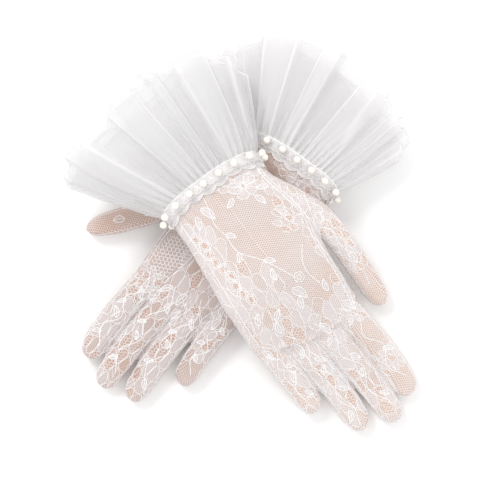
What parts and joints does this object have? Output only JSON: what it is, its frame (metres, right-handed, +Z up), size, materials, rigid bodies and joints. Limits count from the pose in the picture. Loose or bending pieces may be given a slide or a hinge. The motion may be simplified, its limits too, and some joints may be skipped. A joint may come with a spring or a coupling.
{
  "type": "pair of lace gloves",
  "caption": "Pair of sheer lace gloves laid crosswise, each with five fingers, a scalloped wrist band set with pearls and a two-layer gathered tulle ruffle.",
  "frame": {"origin": "middle of the pair's footprint, on the table", "axes": "+Z up; +Y from the crossed hands towards the two ruffles; the left glove's fingers point to -X -Y and the right glove's to +X -Y"},
  "size_m": [0.2182, 0.2534, 0.071],
  "materials": {
    "lace": "floral corded lace net",
    "palm": "fine plain net",
    "band": "woven lace tape",
    "tulle": "sheer crisp tulle",
    "pearl": "pearl lustre"
  },
  "bodies": {
    "left_hand": {"left_back_panel": "lace", "left_palm_panel": "palm", "left_thumb": "lace", "left_wrist_band": "band", "left_scallop_edging": "band", "left_ruffle_outer": "tulle", "left_ruffle_inner": "tulle", "left_pearl_01": "pearl", "left_pearl_02": "pearl", "left_pearl_03": "pearl", "left_pearl_04": "pearl", "left_pearl_05": "pearl", "left_pearl_06": "pearl", "left_pearl_07": "pearl", "left_pearl_08": "pearl", "left_pearl_09": "pearl", "left_pearl_10": "pearl", "left_pearl_11": "pearl", "left_pearl_12": "pearl", "left_pearl_13": "pearl", "left_pearl_14": "pearl", "left_pearl_15": "pearl", "left_pearl_16": "pearl", "left_pearl_17": "pearl"},
    "right_hand": {"right_back_panel": "lace", "right_palm_panel": "palm", "right_wrist_band": "band", "right_scallop_edging": "band", "right_ruffle_outer": "tulle", "right_ruffle_inner": "tulle", "right_pearl_01": "pearl", "right_pearl_02": "pearl", "right_pearl_03": "pearl", "right_pearl_04": "pearl", "right_pearl_05": "pearl", "right_pearl_06": "pearl", "right_pearl_07": "pearl", "right_pearl_08": "pearl", "right_pearl_09": "pearl", "right_pearl_10": "pearl", "right_pearl_11": "pearl", "right_pearl_12": "pearl", "right_pearl_13": "pearl", "right_pearl_14": "pearl", "right_pearl_15": "pearl", "right_pearl_16": "pearl", "right_pearl_17": "pearl"},
    "left_index": {"left_index_finger": "lace"},
    "left_middle": {"left_middle_finger": "lace"},
    "left_ring": {"left_ring_finger": "lace"},
    "left_little": {"left_little_finger": "lace"},
    "right_thumb": {"right_thumb": "lace"},
    "right_index": {"right_index_finger": "lace"},
    "right_middle": {"right_middle_finger": "lace"},
    "right_ring": {"right_ring_finger": "lace"},
    "right_little": {"right_little_finger": "lace"}
  },
  "joints": [
    {"name": "right_glove_lift", "type": "slide", "parent": "left_hand", "child": "right_hand", "axis": [0, 0, 1], "range_m": [0, 0.09]},
    {"name": "left_index_knuckle", "type": "hinge", "parent": "left_hand", "child": "left_index", "pos_m": [-0.06044, -0.03306, 0.01818], "axis": [-0.7482, 0.6635, 0], "range_deg": [0, 60]},
    {"name": "left_middle_knuckle", "type": "hinge", "parent": "left_hand", "child": "left_middle", "pos_m": [-0.04568, -0.0439, 0.01819], "axis": [-0.75, 0.6615, 0], "range_deg": [0, 60]},
    {"name": "left_ring_knuckle", "type": "hinge", "parent": "left_hand", "child": "left_ring", "pos_m": [-0.03078, -0.0542, 0.0182], "axis": [-0.7606, 0.6492, 0], "range_deg": [0, 60]},
    {"name": "left_little_knuckle", "type": "hinge", "parent": "left_hand", "child": "left_little", "pos_m": [-0.01317, -0.06023, 0.01906], "axis": [-0.7693, 0.6389, 0], "range_deg": [0, 60]},
    {"name": "right_index_knuckle", "type": "hinge", "parent": "right_hand", "child": "right_index", "pos_m": [0.06682, -0.05278, 0.03091], "axis": [-0.7624, -0.647, 0], "range_deg": [0, 60]},
    {"name": "right_middle_knuckle", "type": "hinge", "parent": "right_hand", "child": "right_middle", "pos_m": [0.05152, -0.06283, 0.03173], "axis": [-0.7665, -0.6422, 0], "range_deg": [0, 60]},
    {"name": "right_ring_knuckle", "type": "hinge", "parent": "right_hand", "child": "right_ring", "pos_m": [0.0361, -0.07234, 0.03282], "axis": [-0.7757, -0.6311, 0], "range_deg": [0, 60]},
    {"name": "right_little_knuckle", "type": "hinge", "parent": "right_hand", "child": "right_little", "pos_m": [0.0182, -0.07744, 0.03664], "axis": [-0.7796, -0.6262, 0], "range_deg": [0, 60]},
    {"name": "right_thumb_base", "type": "hinge", "parent": "right_hand", "child": "right_thumb", "pos_m": [0.04367, 0.00781, 0.0366], "axis": [-0.788, -0.6157, 0], "range_deg": [0, 40]}
  ]
}
